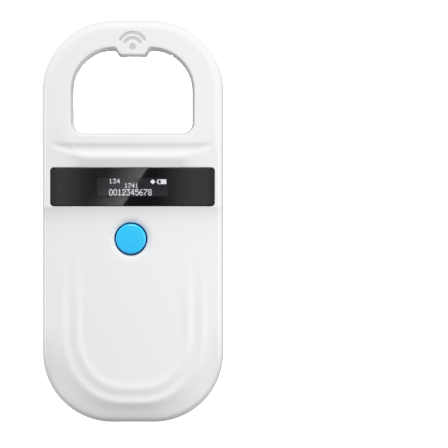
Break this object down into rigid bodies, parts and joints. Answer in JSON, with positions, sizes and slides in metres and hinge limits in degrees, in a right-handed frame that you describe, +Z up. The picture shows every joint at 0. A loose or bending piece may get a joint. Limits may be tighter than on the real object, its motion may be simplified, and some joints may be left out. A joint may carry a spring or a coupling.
{
  "type": "microchip scanner",
  "caption": "Hand-held reader for pet microchips: white pill-shaped case with a D-shaped aerial loop, black display window, round push button and charging socket.",
  "frame": {"origin": "on the surface the scanner lies on, under the centre of its outline", "axes": "+X to the right across the face, +Y along the body towards the aerial loop, +Z up out of the front face"},
  "size_m": [0.076, 0.1686, 0.0249],
  "materials": {
    "shell_white": "fine satin moulded ABS, white",
    "window_black": "polished smoked acrylic, black",
    "button_blue": "smooth moulded plastic, light blue",
    "black_tape": "thin black foam tape",
    "board_green": "green solder mask on glass-epoxy laminate",
    "chip_black": "matt moulded epoxy",
    "black_plastic": "black moulded plastic",
    "ivory_plastic": "ivory nylon",
    "steel": "nickel-plated steel",
    "enamelled_copper": "turns of enamelled copper wire baked into one ring",
    "amber_film": "amber polyimide film",
    "display_glass": "dark display glass",
    "battery_foil": "laminated aluminium pouch",
    "lead_red": "red wire insulation",
    "lead_black": "black wire insulation",
    "grey_foam": "grey closed-cell foam",
    "label_grey": "blank satin polyester label"
  },
  "bodies": {
    "case": {"front_shell": "shell_white", "rear_shell": "shell_white", "display_window": "window_black", "window_tape": "black_tape", "switch_base": "black_plastic", "switch_cover": "steel", "switch_dome": "steel", "switch_leg_1": "steel", "switch_leg_2": "steel", "switch_leg_3": "steel", "switch_leg_4": "steel", "main_board": "board_green", "controller_chip": "chip_black", "reader_chip": "chip_black", "memory_chip": "chip_black", "charger_chip": "chip_black", "crystal": "steel", "power_inductor": "black_plastic", "tuning_capacitor_left": "amber_film", "tuning_capacitor_right": "amber_film", "bulk_capacitor": "amber_film", "wireless_board": "board_green", "wireless_can": "steel", "buzzer": "black_plastic", "charge_socket_shell": "steel", "charge_socket_tongue": "black_plastic", "display_bracket": "black_plastic", "display_panel_base": "display_glass", "display_panel_glass": "display_glass", "display_foam": "grey_foam", "display_ribbon": "amber_film", "battery_cell": "battery_foil", "battery_tape": "grey_foam", "battery_protection_board": "amber_film", "battery_socket": "ivory_plastic", "battery_plug": "ivory_plastic", "battery_lead_red": "lead_red", "battery_lead_black": "lead_black", "aerial_coil": "enamelled_copper", "coil_tape_left": "amber_film", "coil_tape_right": "amber_film", "coil_tape_top": "amber_film", "coil_tape_bottom": "amber_film", "coil_lead_left": "enamelled_copper", "coil_lead_right": "enamelled_copper", "case_screw_1": "steel", "case_screw_2": "steel", "case_screw_3": "steel", "case_screw_4": "steel", "case_screw_5": "steel", "case_screw_6": "steel", "back_label": "label_grey"},
    "button": {"button_cap": "button_blue", "switch_plunger": "ivory_plastic"}
  },
  "joints": [
    {"name": "button_press", "type": "slide", "parent": "case", "child": "button", "axis": [0, 0, -1], "range_m": [0, 0.00035], "stiffness_N_per_m": 1200, "springref_m": -0.0008}
  ]
}
